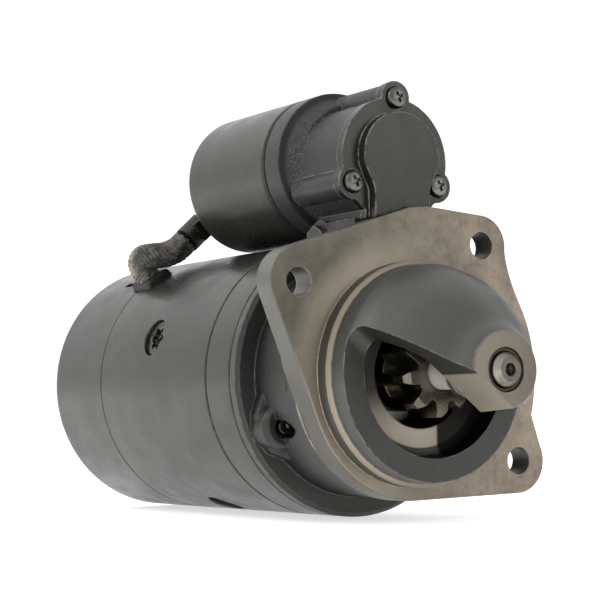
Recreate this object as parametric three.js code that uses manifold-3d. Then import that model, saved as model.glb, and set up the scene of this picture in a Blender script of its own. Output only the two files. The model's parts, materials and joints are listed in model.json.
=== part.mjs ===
// A starter motor: a series-wound motor whose solenoid, over a fork lever, pushes a pinion out along the shaft
// into an engine's ring gear, under the hood of the drive-end housing.
// Millimetres. The origin is the centre of the pilot in the flange's mounting face, +X runs along the shaft
// towards the nose, and +Z points to the solenoid.
import * as THREE from "three";
import { mergeVertices } from "three/addons/utils/BufferGeometryUtils.js";
import Module from "manifold-3d";

const wasm = await Module();
wasm.setup();

// ---- Driving dimensions ----
const GAP = 0.3; // left between pieces that touch
const BARREL_R = 57.5;
const YOKE_BORE_R = 50.5;
const HOUSING_REAR_X = -45.3; // joint of the drive-end housing and the centre plate
const YOKE_FRONT_X = -64.5; // joint of the centre plate and the yoke
const YOKE_REAR_X = -162.4; // joint of the yoke and the rear cover
const REAR_X = -216; // outer face of the rear cover

const FLANGE_T = 11;
const FLANGE_SIDE_R = 62;
const FLANGE_FOOT = [1.5, -0.6, 49.4]; // y, z and radius of the flange's round lower edge
const FLANGE_FOOT_Z = -49.8;
const BOLT_CIRCLE_R = 63;
const BOLT_HOLE_R = 5.6;
const BOLT_ANGLES = [145.5, 55.5, -34.5];
const NECK_R = 48.8;
const NECK_BORE_R = 44;

const PILOT_R = 44.5;
const PILOT_H = 6.6;
const NOSE_R = 42.4;
const RIM_X = 14.9; // front of the round nose body, where the window starts
const POCKET_R = 33;
const POCKET_FLOOR_X = 5;
const PINION_PORT_R = 21.5;
const BOSS_X = 59;
const BOSS_R = 14.5;
const BOSS_BACK_X = 37.5;
const HOOD_TURN_DEG = -39; // slope of the window's edge across the nose
const HOOD_DROP = 9.3; // the window's edge and the flat under the boss pass this far under the shaft's axis

const SOLENOID_Z = 89;
const SOLENOID_R = 30.4;
const SOLENOID_REAR_X = -127.8;
const SOLENOID_FRONT_X = -61.7;
const MOUNT_RING_X = [-59.4, -49.7]; // the housing's ring that the solenoid bears on
const TOWER_R = 24.7;
const TOWER_Z = 86.1;
const TOWER_FRONT_X = -13;
const TOWER_SIDE_Y = 14;
const COVER_FRONT_X = -8.6;
const COVER_SCREWS = [[1, 111.4], [-20.4, 76.4], [20.4, 76.4]];

const POLE_ANGLE = 160; // the first of four poles, a quarter turn apart
const POLE_BORE_R = 36.2;
const POLE_X = [-150, -82];
const THROUGH_BOLT_R = 46.6; // radius of the bolt circle inside the yoke
const THROUGH_BOLT_ANGLES = [205, 25];

const SHAFT_R = 8.4; // under the drive
const NOSE_SHAFT_R = 6.6; // from the pinion's front lip to the nose
const SHAFT_END_X = 62; // the chamfered end stands proud of the boss
const PINION_TEETH = 9;
const PINION_TIP_R = 17.3;
const PINION_ROOT_R = 11.4;
const PINION_FRONT_X = 19.8;
const PINION_BACK_X = 0;
const DRIVE_GROOVE_X = -45; // middle of the shift groove at rest

const LEVER_X = -38;
const LEVER_Z = 56;
const LEVER_LEAN = THREE.MathUtils.degToRad(7.18); // the lever leans this far either side of upright
const LEVER_UP = 33; // pivot to the plunger's pin
const LEVER_DOWN = 56; // pivot to the shift pads

const BRUSH_ANGLE = 115; // the first of four brushes
const COMMUTATOR_R = 20;
const COMMUTATOR_X = [-195, -168];

// ---- Materials ----
const colours = {
  paint: [0x34353a, 0.55, 0.4],
  machined: [0x8a7f74, 0.5, 0.8],
  steel: [0x9a9a98, 0.35, 1],
  zinc: [0xc4c4c0, 0.3, 1],
  oily: [0x7c7a5c, 0.3, 0.9],
  bronze: [0x8d6f45, 0.4, 1],
  copper: [0xa8623a, 0.45, 0.9],
  lamination: [0x6a6a6c, 0.5, 0.8],
  carbon: [0x2a2a2c, 0.7, 0.2],
  bakelite: [0x1c1a19, 0.45, 0],
  rubber: [0x17171a, 0.8, 0],
  sheath: [0x4a423a, 0.7, 0.1],
};

function finish(slot) {
  const [color, roughness, metalness] = colours[slot];
  return new THREE.MeshStandardMaterial({ color, roughness, metalness });
}

// ---- Solids ----
function solid(geometry) {
  const bare = geometry.index ? geometry.toNonIndexed() : geometry.clone();
  bare.deleteAttribute("normal");
  bare.deleteAttribute("uv");
  const merged = mergeVertices(bare, 1e-4);
  const index = merged.index.array;
  const kept = [];
  for (let i = 0; i < index.length; i += 3) {
    const [a, b, c] = [index[i], index[i + 1], index[i + 2]];
    if (a !== b && b !== c && c !== a) kept.push(a, b, c);
  }
  const vertProperties = merged.attributes.position.array;
  return new wasm.Manifold(
    new wasm.Mesh({ numProp: 3, vertProperties, triVerts: new Uint32Array(kept) }),
  );
}

function geometryOf(shape) {
  const { numProp, numVert, vertProperties, triVerts } = shape.getMesh();
  const position = new Float32Array(numVert * 3);
  for (let i = 0; i < numVert; i++) {
    position.set(vertProperties.subarray(i * numProp, i * numProp + 3), i * 3);
  }
  const geometry = new THREE.BufferGeometry();
  geometry.setAttribute("position", new THREE.BufferAttribute(position, 3));
  geometry.setIndex(new THREE.BufferAttribute(new Uint32Array(triVerts), 1));
  geometry.computeVertexNormals();
  return geometry;
}

const join = (first, ...rest) => rest.reduce((all, one) => all.add(one), first);
const cut = (first, ...rest) => rest.reduce((all, one) => all.subtract(one), first);

/** A solid turned about the X axis (or one parallel to it at y, z) from a closed [x, radius] profile. */
function turned(profile, segments = 28, y = 0, z = 0) {
  const ring = profile.every(([, r]) => r > 0);
  const points = profile.map(([x, r]) => new THREE.Vector2(r, x));
  if (THREE.ShapeUtils.area(points) < 0) points.reverse();
  if (ring) points.push(points[0].clone());
  const geometry = new THREE.LatheGeometry(points, segments);
  return solid(geometry.rotateZ(-Math.PI / 2).translate(0, y, z));
}

/** A turned solid that reaches the axis at both ends. */
const spindle = (profile, segments, y, z) =>
  turned([[profile[0][0], 0], ...profile, [profile.at(-1)[0], 0]], segments, y, z);

/** A tube along X. */
const tube = (x0, x1, inner, outer, segments, y, z) =>
  turned([[x0, inner], [x1, inner], [x1, outer], [x0, outer]], segments, y, z);

/** A round bar along X. */
const rod = (x0, x1, radius, segments, y, z) => spindle([[x0, radius], [x1, radius]], segments, y, z);

/** A round bar along Y. */
function crossBar(y0, y1, radius, x, z, segments = 20) {
  const bar = new THREE.CylinderGeometry(radius, radius, y1 - y0, segments);
  return solid(bar.translate(x, (y0 + y1) / 2, z));
}

function block(x0, x1, y0, y1, z0, z1) {
  const box = new THREE.BoxGeometry(x1 - x0, y1 - y0, z1 - z0);
  return solid(box.translate((x0 + x1) / 2, (y0 + y1) / 2, (z0 + z1) / 2));
}

/** A (y, z) outline pushed along X from x0 to x1. */
function prismX(outline, x0, x1, curveSegments = 12, bevel = 0) {
  const geometry = new THREE.ExtrudeGeometry(outline, {
    depth: x1 - x0 - 2 * bevel,
    curveSegments,
    bevelEnabled: bevel > 0,
    bevelThickness: bevel,
    bevelSize: bevel,
    bevelOffset: -bevel,
    bevelSegments: 1,
  });
  const axes = new THREE.Matrix4().makeBasis(
    new THREE.Vector3(0, 1, 0),
    new THREE.Vector3(0, 0, 1),
    new THREE.Vector3(1, 0, 0),
  );
  return solid(geometry.applyMatrix4(axes).translate(x0 + bevel, 0, 0));
}

/** An (x, z) outline pushed along Y, evenly about y = 0. */
function prismY(outline, thickness, curveSegments = 8) {
  const geometry = new THREE.ExtrudeGeometry(outline, {
    depth: thickness,
    curveSegments,
    bevelEnabled: false,
  });
  return solid(geometry.rotateX(Math.PI / 2).translate(0, thickness / 2, 0));
}

/** A round section swept along a list of [x, y, z] points, smoothed. */
function swept(points, radius, sides, steps) {
  const path = new THREE.CatmullRomCurve3(points.map((p) => new THREE.Vector3(...p)));
  const section = new THREE.Shape();
  for (let i = 0; i < sides; i++) {
    const angle = (i / sides) * 2 * Math.PI;
    const corner = [radius * Math.cos(angle), radius * Math.sin(angle)];
    if (i) section.lineTo(...corner);
    else section.moveTo(...corner);
  }
  return solid(new THREE.ExtrudeGeometry(section, { steps, extrudePath: path, bevelEnabled: false }));
}

/** A coil spring about an axis parallel to X, from x0 to x1. */
function coilSpring(x0, x1, radius, wire, turns, z) {
  const points = [];
  const perTurn = 8;
  for (let i = 0; i <= turns * perTurn; i++) {
    const angle = (i / perTurn) * 2 * Math.PI;
    const x = x0 + wire + ((x1 - x0 - 2 * wire) * i) / (turns * perTurn);
    points.push([x, radius * Math.cos(angle), z + radius * Math.sin(angle)]);
  }
  return swept(points, wire, 5, turns * perTurn);
}

/** Turns a solid about the X axis. */
const turn = (shape, degrees) => shape.rotate([degrees, 0, 0]);

const polar = (radius, degrees) => {
  const angle = THREE.MathUtils.degToRad(degrees);
  return [radius * Math.cos(angle), radius * Math.sin(angle)];
};

const model = new THREE.Group();
function part(name, slot, shape) {
  const mesh = new THREE.Mesh(geometryOf(shape), finish(slot));
  mesh.name = name;
  model.add(mesh);
  return mesh;
}

// ---- Drive-end housing ----
/** The flange's (y, z) outline, pushed outwards by grow. */
function flangeOutline(grow = 0) {
  const arc = (shape, y, z, radius, from, to) =>
    shape.absarc(y, z, radius + grow, THREE.MathUtils.degToRad(from), THREE.MathUtils.degToRad(to));
  const [y1, z1] = [-50.8, 36.2];
  const [y2, z2] = polar(BOLT_CIRCLE_R, BOLT_ANGLES[1]);
  const [y3, z3] = polar(BOLT_CIRCLE_R, BOLT_ANGLES[2]);
  const [footY, footZ, footR] = FLANGE_FOOT;
  const footAngle = THREE.MathUtils.radToDeg(Math.asin((FLANGE_FOOT_Z - footZ) / footR));
  const outline = new THREE.Shape();
  arc(outline, 0, 0, FLANGE_SIDE_R, -16, 27);
  outline.quadraticCurveTo(49.5 + grow, 39, y2 + 12.3 + grow, z2 - 3);
  arc(outline, y2, z2, 12.4, -8, 84);
  outline.lineTo(9, 67 + grow);
  outline.lineTo(1, 66.3 + grow);
  arc(outline, y1, z1, 13.6, 107, 201);
  arc(outline, footY, footZ, footR, 201, 180 - footAngle);
  arc(outline, y3, z3, 13.2, -90, 24);
  return outline;
}

/** What the window takes away in front of the rim, down to a floor given as (x, z) points. */
function windowCut(floor) {
  const outline = new THREE.Shape(floor.map((point) => new THREE.Vector2(...point)));
  outline.lineTo(floor.at(-1)[0], -70);
  outline.lineTo(RIM_X, -70);
  return turn(prismY(outline, 140), HOOD_TURN_DEG);
}

function hood() {
  const outside = spindle([
    [8, NOSE_R], [RIM_X, NOSE_R], [24, 39.4], [33, 34.2], [42, 27.4], [56, 16], [BOSS_X, BOSS_R],
  ], 36);
  const inside = spindle([[RIM_X - 12, POCKET_R], [20, POCKET_R], [30, 28], [BOSS_BACK_X, 21]], 32);
  const shell = cut(outside, inside, windowCut([[RIM_X, -HOOD_DROP], [80, -HOOD_DROP]]));
  const besideBoss = block(RIM_X, BOSS_X + 1, 1, 60, -70, -12.5);
  const boss = spindle([[BOSS_BACK_X, BOSS_R + 1.5], [BOSS_X, BOSS_R]], 28);
  return join(cut(shell, besideBoss), cut(boss, windowCut([[RIM_X, -HOOD_DROP], [80, -HOOD_DROP]])));
}

/** The lever tower's (y, z) section: a round top on straight sides, with a lobe for each cover screw. */
function towerSection(x0, x1, grow = 0) {
  const round = rod(x0, x1, TOWER_R + grow, 32, 0, TOWER_Z);
  const sides = block(x0, x1, -TOWER_SIDE_Y - grow, TOWER_SIDE_Y + grow, 46, TOWER_Z);
  const lobes = COVER_SCREWS.map(([y, z]) => rod(x0, x1, 6.2 + grow, 16, y, z));
  return join(round, sides, ...lobes);
}

function driveEndHousing() {
  const neck = spindle([
    [HOUSING_REAR_X + GAP / 2, BARREL_R - 0.8], [HOUSING_REAR_X + 1, BARREL_R], [-41, BARREL_R],
    [-39.6, BARREL_R - 1.6], [-39.2, NECK_R], [-4, NECK_R],
  ], 36);
  const flange = prismX(flangeOutline(), -FLANGE_T, 0);
  const pilot = spindle([
    [-3, PILOT_R], [PILOT_H - 0.8, PILOT_R], [PILOT_H, PILOT_R - 0.8], [PILOT_H + 0.6, NOSE_R + 0.4],
    [RIM_X - 0.8, NOSE_R], [RIM_X, NOSE_R - 0.8],
  ], 36);
  const tower = join(
    towerSection(-45, TOWER_FRONT_X),
    turned([
      [MOUNT_RING_X[0], 16], [MOUNT_RING_X[1] + 13, 16], [MOUNT_RING_X[1] + 11, 24], [MOUNT_RING_X[1] + 2, 27.5],
      [MOUNT_RING_X[1] + 1, SOLENOID_R], [MOUNT_RING_X[0], SOLENOID_R],
    ], 36, 0, SOLENOID_Z),
    block(-41, TOWER_FRONT_X, -17.3, 17.3, 58.6, 62.6),
    crossBar(-17.6, 17.6, 7.4, LEVER_X, LEVER_Z + 0.6, 16),
  );
  const bolts = THROUGH_BOLT_ANGLES.map((angle) => polar(THROUGH_BOLT_R, angle));
  const bossPads = bolts.map(([y, z]) => spindle([[-44, 10.5], [-35, 10.5], [-29, 7]], 18, y, z));
  const body = cut(
    join(neck, flange, pilot, hood(), tower, ...bossPads),
    spindle([[-50, NECK_BORE_R], [-15, NECK_BORE_R], [-5, 30], [-4, 25.5], [1.4, 25.5]], 36),
    rod(-3, POCKET_FLOOR_X + 1, PINION_PORT_R, 32),
    rod(POCKET_FLOOR_X, RIM_X + 1, POCKET_R, 36),
    rod(30, BOSS_X + 1, 8.3, 24),
    block(-46, -20, -9.7, 9.7, 30, 100),
    rod(-70, 0, 16, 24, 0, SOLENOID_Z),
    crossBar(-30, 30, 4.3, LEVER_X, LEVER_Z),
    crossBar(-30, -17.6, 6.4, LEVER_X, LEVER_Z, 16),
    ...BOLT_ANGLES.map((angle) => rod(-20, 10, BOLT_HOLE_R, 18, ...polar(BOLT_CIRCLE_R, angle))),
    ...COVER_SCREWS.map(([y, z]) => rod(-70, 0, 2.8, 10, y, z)),
  );
  const bushes = bolts.map(([y, z]) => rod(HOUSING_REAR_X + GAP / 2, -30, 7, 16, y, z));
  return cut(join(body, ...bushes), ...bolts.map(([y, z]) => rod(-50, -20, 3.4, 12, y, z)));
}

part("drive_end_housing", "paint", driveEndHousing());
part("nose_bushing", "bronze", tube(BOSS_BACK_X + 1, BOSS_X - 0.6, NOSE_SHAFT_R + GAP, 8, 24));

// ---- Lever cover and its screws ----
function coverPad() {
  const pad = new THREE.Shape();
  const [centreY, centreZ, radius] = [0.6, 87, 18.2];
  const end = THREE.MathUtils.degToRad(-12);
  pad.moveTo(-13, 60);
  pad.lineTo(13.6, 60);
  pad.lineTo(13.6, 78);
  pad.absarc(centreY, centreZ, radius, end, Math.PI - end);
  pad.lineTo(-13, 78);
  return prismX(pad, COVER_FRONT_X - 3.4, COVER_FRONT_X + 4.6, 12, 2.4);
}

function leverCover() {
  const plate = towerSection(TOWER_FRONT_X + GAP, COVER_FRONT_X, 0.6);
  return cut(
    join(plate, coverPad()),
    prismX(flangeOutline(GAP), -40, 10),
    ...COVER_SCREWS.map(([y, z]) => rod(-20, 0, 2.8, 12, y, z)),
    ...COVER_SCREWS.map(([y, z]) => rod(COVER_FRONT_X - 1.4, 0, 4.8, 16, y, z)),
  );
}

function coverScrew([y, z]) {
  const shank = spindle([
    [-65, 2.4], [COVER_FRONT_X - 1.1, 2.4], [COVER_FRONT_X - 1.1, 4.4], [COVER_FRONT_X + 1.6, 4.4],
    [COVER_FRONT_X + 2.4, 3.6],
  ], 12, y, z);
  const recess = (tilt) =>
    solid(new THREE.BoxGeometry(4, 1.2, 4.6).rotateX(tilt).translate(COVER_FRONT_X + 2.8, y, z));
  return cut(shank, recess(0.4), recess(0.4 + Math.PI / 2));
}

part("lever_cover", "paint", leverCover());
COVER_SCREWS.forEach((place, i) => part("cover_screw_" + (i + 1), "zinc", coverScrew(place)));
part("lever_pin", "steel", join(
  crossBar(-18.4, 18.6, 4, LEVER_X, LEVER_Z),
  crossBar(-20.6, -17.9, 6, LEVER_X, LEVER_Z, 6),
));

// ---- Centre plate, yoke and rear cover ----
const boltHoles = (x0, x1) =>
  THROUGH_BOLT_ANGLES.map((angle) => rod(x0, x1, 3.4, 12, ...polar(THROUGH_BOLT_R, angle)));

const centrePlate = cut(
  turned([
    [YOKE_FRONT_X + GAP / 2, 13.3], [-57.2, 13.3], [-57.2, 20], [-58.4, 24], [-58.4, 50.5],
    [HOUSING_REAR_X - GAP / 2, 50.5], [HOUSING_REAR_X - GAP / 2, BARREL_R - 0.6], [-46.2, BARREL_R],
    [YOKE_FRONT_X + 0.8, BARREL_R], [YOKE_FRONT_X + GAP / 2, BARREL_R - 0.6],
  ], 40),
  ...boltHoles(-70, -50),
);
part("centre_plate", "paint", centrePlate);
part("centre_bushing", "bronze", tube(-64.3, -57, 10.4, 13, 24));

/** The grommet's block, which stands on the barrel where the field lead goes in. */
const GROMMET_ANGLE = 125;
function grommetBlock(grow, from, to) {
  const box = block(-166 - grow, -149 + grow, from, to, -7 - grow, 7 + grow);
  return turn(box, GROMMET_ANGLE);
}

/** A pole screw along +Y: a countersunk head in the yoke and a shank in the pole shoe. */
function poleScrew(grow = 0) {
  const top = grow ? 60 : 56.7;
  const profile = [[0, 39], [4, 39], [4, 50], [8, 54.6], [8, top], [0, top]].map(
    ([radius, along]) => new THREE.Vector2(radius ? radius + grow : 0, along),
  );
  return solid(new THREE.LatheGeometry(profile, 18).translate((POLE_X[0] + POLE_X[1]) / 2, 0, 0));
}

const quarters = [0, 1, 2, 3].map((i) => 90 * i);

const yoke = cut(
  turned([
    [YOKE_REAR_X + GAP / 2, YOKE_BORE_R], [YOKE_FRONT_X - GAP / 2, YOKE_BORE_R],
    [YOKE_FRONT_X - GAP / 2, BARREL_R - 0.6], [YOKE_FRONT_X - 0.8, BARREL_R],
    [YOKE_REAR_X + 0.5, BARREL_R], [YOKE_REAR_X + GAP / 2, BARREL_R - 0.4],
  ], 40),
  grommetBlock(GAP, 40, 70),
  ...quarters.map((angle) => turn(poleScrew(GAP), POLE_ANGLE + angle)),
);
part("yoke", "paint", yoke);

const rearCover = cut(
  turned([
    [-218, 0], [-218, 13], [-217, 14], [REAR_X, 14], [REAR_X, 52.6], [-215.2, 55.2], [-213.6, 56.8], [-211, BARREL_R],
    [YOKE_REAR_X - 0.5, BARREL_R], [YOKE_REAR_X - GAP / 2, BARREL_R - 0.4], [YOKE_REAR_X - GAP / 2, 53],
    [-211, 53], [-211, 14], [-200, 14], [-200, 9.3], [-213, 9.3], [-213, 0],
  ], 40),
  grommetBlock(GAP, 40, 70),
  turn(block(-184, YOKE_REAR_X + 1, 50, 60, -1.6, 1.6), GROMMET_ANGLE),
  ...boltHoles(-220, -200),
);
part("rear_cover", "paint", rearCover);
part("rear_bushing", "bronze", tube(-212.7, -200.4, 6.4, 9, 18));

THROUGH_BOLT_ANGLES.forEach((angle, i) => {
  const [y, z] = polar(THROUGH_BOLT_R, angle);
  const bolt = join(rod(-220.6, REAR_X - GAP, 5.6, 6, y, z), rod(-218, -27.6, 2.9, 10, y, z));
  part("through_bolt_" + (i + 1), "zinc", cut(bolt, rod(-28.4, -27, 1.2, 10, y, z)));
});

// ---- Field: pole shoes, coils and screws ----
const wedge = (halfAngle) => {
  const outline = new THREE.Shape();
  outline.moveTo(0, 0);
  outline.lineTo(...polar(90, -halfAngle));
  outline.lineTo(...polar(90, halfAngle));
  return prismX(outline, YOKE_REAR_X, YOKE_FRONT_X);
};
const poleCore = (grow) => block(POLE_X[0] - grow, POLE_X[1] + grow, 30, 60, -13 - grow, 13 + grow);

function poleShoe() {
  const core = tube(...POLE_X, POLE_BORE_R, YOKE_BORE_R - GAP, 64).intersect(poleCore(0));
  const face = tube(...POLE_X, POLE_BORE_R, 38.9, 64).intersect(wedge(32));
  return cut(join(core, face), poleScrew(GAP));
}

function fieldCoil() {
  const shell = tube(POLE_X[0] - 8, POLE_X[1] + 8, 39.3, YOKE_BORE_R - GAP, 40);
  return cut(shell.intersect(wedge(38.3)), poleCore(GAP));
}

quarters.forEach((angle, i) => {
  part("pole_shoe_" + (i + 1), "steel", turn(poleShoe(), POLE_ANGLE + angle));
  part("field_coil_" + (i + 1), "copper", turn(fieldCoil(), POLE_ANGLE + angle));
  const slot = block(-150, -80, 55.5, 60, -0.9, 0.9);
  part("pole_screw_" + (i + 1), "steel", turn(cut(poleScrew(), slot), POLE_ANGLE + angle));
});

// ---- Armature ----
const shaft = spindle([
  [-212, 5.4], [-211.4, 6], [-199, 6], [-199, 10], [-56, 10], [-56, SHAFT_R], [15, SHAFT_R],
  [15, NOSE_SHAFT_R], [59.2, NOSE_SHAFT_R], [SHAFT_END_X, 4.5], [SHAFT_END_X, 2.4], [60.4, 2.1], [59, 0.5],
], 24);
part("armature_shaft", "steel", shaft);
part("armature_core", "lamination", tube(...POLE_X, 10.3, POLE_BORE_R - 0.9, 36));
part("front_winding", "copper", turned([
  [POLE_X[1] + GAP, 12], [-69, 12], [-69, 24], [-74, 31], [POLE_X[1] + GAP, 33],
], 28));
part("rear_winding", "copper", turned([
  [-166, 12], [POLE_X[0] - GAP, 12], [POLE_X[0] - GAP, 33], [-158, 30], [-166, 23.4],
], 28));
part("commutator", "copper", turned([
  [COMMUTATOR_X[0], 10.3], [COMMUTATOR_X[1], 10.3], [COMMUTATOR_X[1], 22.6], [-171, 22.6],
  [-171.6, COMMUTATOR_R], [COMMUTATOR_X[0], COMMUTATOR_R],
], 28));
part("pinion_stop_ring", "steel", tube(34.4, BOSS_BACK_X - GAP, NOSE_SHAFT_R + GAP, 10, 18));

// ---- Brush gear ----
const brushX = [-190, -174];
const holder = (angle) => {
  const box = block(-198, -171.8, 23.6, 41, -6.4, 6.4);
  return turn(cut(box, block(brushX[0] - 0.4, brushX[1] + 0.4, 15, 50, -4.4, 4.4)), angle);
};
part("brush_plate", "steel", join(
  tube(-199.6, -197.2, 15, 42.4, 32),
  ...quarters.map((angle) => holder(BRUSH_ANGLE + angle)),
));
quarters.forEach((angle, i) => {
  const brush = block(...brushX, COMMUTATOR_R + 0.4, 33, -4, 4);
  part("brush_" + (i + 1), "carbon", turn(brush, BRUSH_ANGLE + angle));
});

// ---- Drive: sleeve with the shift groove, spring, overrunning clutch and pinion ----
const driveSleeve = turned([
  [-52.5, 8.8], [-30.4, 8.8], [-30.4, 13], [-37.5, 13], [-37.5, 20], [DRIVE_GROOVE_X + 4.7, 20],
  [DRIVE_GROOVE_X + 4.7, 13], [DRIVE_GROOVE_X - 4.7, 13], [DRIVE_GROOVE_X - 4.7, 20], [-52.5, 20],
], 28);
part("drive_sleeve", "steel", driveSleeve);
part("meshing_spring", "steel", coilSpring(-37.2, -30.4, 15.4, 1.3, 2, 0));
part("clutch_housing", "steel", turned([
  [-30.1, 8.9], [-15.7, 8.9], [-15.7, 19], [-17, 21], [-17.8, 22.5], [-28.8, 22.5], [-30.1, 21],
], 32));

function pinion() {
  const pitch = 360 / PINION_TEETH;
  const flank = [[PINION_ROOT_R, -15], [14, -10.6], [16, -7.4], [PINION_TIP_R, -4.2]];
  const tooth = [...flank, ...flank.map(([r, angle]) => [r, -angle]).reverse()];
  const corners = [];
  for (let i = 0; i < PINION_TEETH; i++) {
    tooth.forEach(([r, angle]) => corners.push(new THREE.Vector2(...polar(r, angle + (i + 0.7) * pitch))));
  }
  const teeth = prismX(new THREE.Shape(corners), PINION_BACK_X, PINION_FRONT_X);
  const envelope = spindle([
    [PINION_BACK_X - 1, PINION_TIP_R + 1], [PINION_FRONT_X - 3.3, PINION_TIP_R + 1],
    [PINION_FRONT_X + 0.3, PINION_TIP_R - 2.6],
  ], 27);
  const hub = rod(-15.4, PINION_BACK_X + 0.6, 14.6, 24);
  const bore = spindle([[-20, 8.8], [15.6, 8.8], [16.4, NOSE_SHAFT_R + GAP], [25, NOSE_SHAFT_R + GAP]], 20);
  return cut(join(teeth.intersect(envelope), hub), bore);
}
part("pinion", "oily", pinion());

// ---- Fork lever ----
function forkLever() {
  const arm = new THREE.Shape();
  arm.moveTo(-4.6, -26);
  arm.lineTo(4.6, -26);
  arm.lineTo(5.4, 0);
  arm.lineTo(4.6, LEVER_UP + 4);
  arm.lineTo(2.75, LEVER_UP + 4);
  arm.lineTo(2.75, LEVER_UP - 2.8);
  arm.lineTo(-2.75, LEVER_UP - 2.8);
  arm.lineTo(-2.75, LEVER_UP + 4);
  arm.lineTo(-4.6, LEVER_UP + 4);
  arm.lineTo(-5.4, 0);
  const side = (s) => {
    const [inner, outer] = [23.4, 27].map((y) => s * y).sort((a, b) => a - b);
    const [padIn, padOut] = [13.9, 24].map((y) => s * y).sort((a, b) => a - b);
    return join(
      block(-4, 4, inner, outer, -LEVER_DOWN, -25),
      crossBar(inner, outer, 5, 0, -LEVER_DOWN, 12),
      crossBar(padIn, padOut, 3.8, 0, -LEVER_DOWN, 12),
    );
  };
  const bare = join(
    prismY(arm, 6),
    crossBar(-9.4, 9.4, 6.3, 0, 0, 16),
    block(-4.5, 4.5, -27, 27, -29, -24.5),
    side(1),
    side(-1),
  );
  const lean = THREE.MathUtils.radToDeg(LEVER_LEAN);
  return cut(bare, crossBar(-12, 12, 4.3, 0, 0)).rotate([0, lean, 0]).translate([LEVER_X, 0, LEVER_Z]);
}
part("fork_lever", "steel", forkLever());

// ---- Solenoid ----
const solenoidTurned = (profile, segments) => turned(profile, segments, 0, SOLENOID_Z);

part("solenoid_case", "paint", cut(
  solenoidTurned([
    [SOLENOID_REAR_X, 27.6], [-66, 27.6], [-66, 10.7], [SOLENOID_FRONT_X, 10.7], [SOLENOID_FRONT_X, 29.6],
    [SOLENOID_FRONT_X - 0.8, SOLENOID_R], [-126.6, SOLENOID_R], [SOLENOID_REAR_X, 29.2],
  ], 40),
  ...COVER_SCREWS.map(([y, z]) => rod(-70, -50, 2.8, 10, y, z)),
));
part("solenoid_gasket", "rubber", tube(-61.4, MOUNT_RING_X[0] - GAP, 26.9, 29.3, 32, 0, SOLENOID_Z));
part("solenoid_coil", "copper", tube(-117, -66.6, 11.2, 27.2, 28, 0, SOLENOID_Z));
part("solenoid_core", "steel", solenoidTurned([
  [-120.6, 3.4], [-102.3, 3.4], [-102.3, 10.2], [-117.4, 10.2], [-117.4, 27.2], [-120.6, 27.2],
], 24));

const MAIN_STUDS = { battery: [5.5, SOLENOID_Z + 9.6], motor: [-5.5, SOLENOID_Z - 9.6] };
const CAP_X = -139.2;
part("solenoid_cap", "bakelite", cut(
  solenoidTurned([
    [CAP_X, 0], [CAP_X, 20], [CAP_X + 1, 21], [-128.2, 21], [-128.2, 27.2], [-121, 27.2], [-121, 18],
    [-134, 18], [-134, 0],
  ], 32),
  ...Object.values(MAIN_STUDS).map(([y, z]) => rod(-145, -130, 4.3, 12, y, z)),
  block(-140, -135.6, 12, 13.4, 80.5, 87.5),
));
Object.entries(MAIN_STUDS).forEach(([name, [y, z]]) => {
  const stud = join(rod(-133.7, -130.7, 5.8, 16, y, z), rod(-151, -132, 4, 12, y, z));
  part(name + "_stud", "copper", stud);
  const [x0, x1] = name === "motor" ? [-147, -141.6] : [-145, CAP_X - GAP];
  part(name + "_nut", "zinc", cut(rod(x0, x1, 7.4, 6, y, z), rod(x0 - 1, x1 + 1, 4.3, 12, y, z)));
});
part("control_terminal", "zinc", block(-147, -135.9, 12.3, 13.1, 80.8, 87.2));

const plunger = solenoidTurned([
  [-60, 0], [-60, 7.6], [-93, 7.6], [-93, 10], [-51.6, 10], [-50, 8.4], [-50, 0],
], 24);
part("plunger", "steel", plunger);
const pinX = LEVER_X + LEVER_UP * Math.sin(LEVER_LEAN);
const clevis = cut(
  block(pinX - 8.4, pinX + 5.5, -6.5, 6.5, SOLENOID_Z - 5, SOLENOID_Z + 5),
  block(pinX - 6.2, pinX + 8, -3.5, 3.5, SOLENOID_Z - 9, SOLENOID_Z + 9),
);
part("plunger_rod", "steel", join(
  clevis,
  rod(-49.7, pinX - 6, 4.4, 12, 0, SOLENOID_Z),
  crossBar(-5, 5, 2.3, pinX, SOLENOID_Z, 10),
));
part("return_spring", "steel", coilSpring(-102, -60.4, 5.6, 1, 6, SOLENOID_Z));
part("contact_disc", "copper", spindle([
  [-127.4, 4], [-126.9, 4], [-126.9, 14], [-124.9, 14], [-124.9, 4], [-123, 2.6], [-66.5, 2.6],
], 16, 0, SOLENOID_Z));

// ---- Field lead, from the motor stud to the yoke ----
const LEAD_R = 6;
const LUG_X = -146.1;
const LEAD_ROUTE = [
  [LUG_X, -22.4, 64.2], [-146.6, -26.6, 60.8], [-148.6, -31.4, 58.8], [-151.4, -35.8, 58.4],
  [-154.6, -38.8, 57.8], [-157, -39.2, 55.4], [-158, -37, 51.9], [-158, -33.3, 47.5],
];
part("field_lead", "sheath", swept(LEAD_ROUTE, LEAD_R, 10, 22));

function cableLug() {
  const [y, z] = MAIN_STUDS.motor;
  const plate = rod(-141.3, CAP_X - GAP, 8, 18, y, z);
  const toLead = new THREE.Vector2(LEAD_ROUTE[0][1] - y, LEAD_ROUTE[0][2] - z);
  const reach = toLead.length() - 2;
  const barrel = crossBar(9.5, reach, 6.3, LUG_X, 0, 12);
  const tongue = block(-141.3, CAP_X - GAP, 3, 16, -4.6, 4.6);
  const arm = turn(join(barrel, tongue), THREE.MathUtils.radToDeg(toLead.angle())).translate([0, y, z]);
  return cut(join(plate, arm), rod(-150, -130, 4.4, 12, y, z));
}
part("cable_lug", "zinc", cableLug());
part("lead_grommet", "rubber", cut(
  grommetBlock(0, YOKE_BORE_R + 1, 63.4),
  swept(LEAD_ROUTE, LEAD_R + GAP, 10, 22),
));

export default model;
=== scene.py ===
"""The looks of a starter motor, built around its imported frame.

Shapes are built in millimetres and placed in metres.
"""

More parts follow.
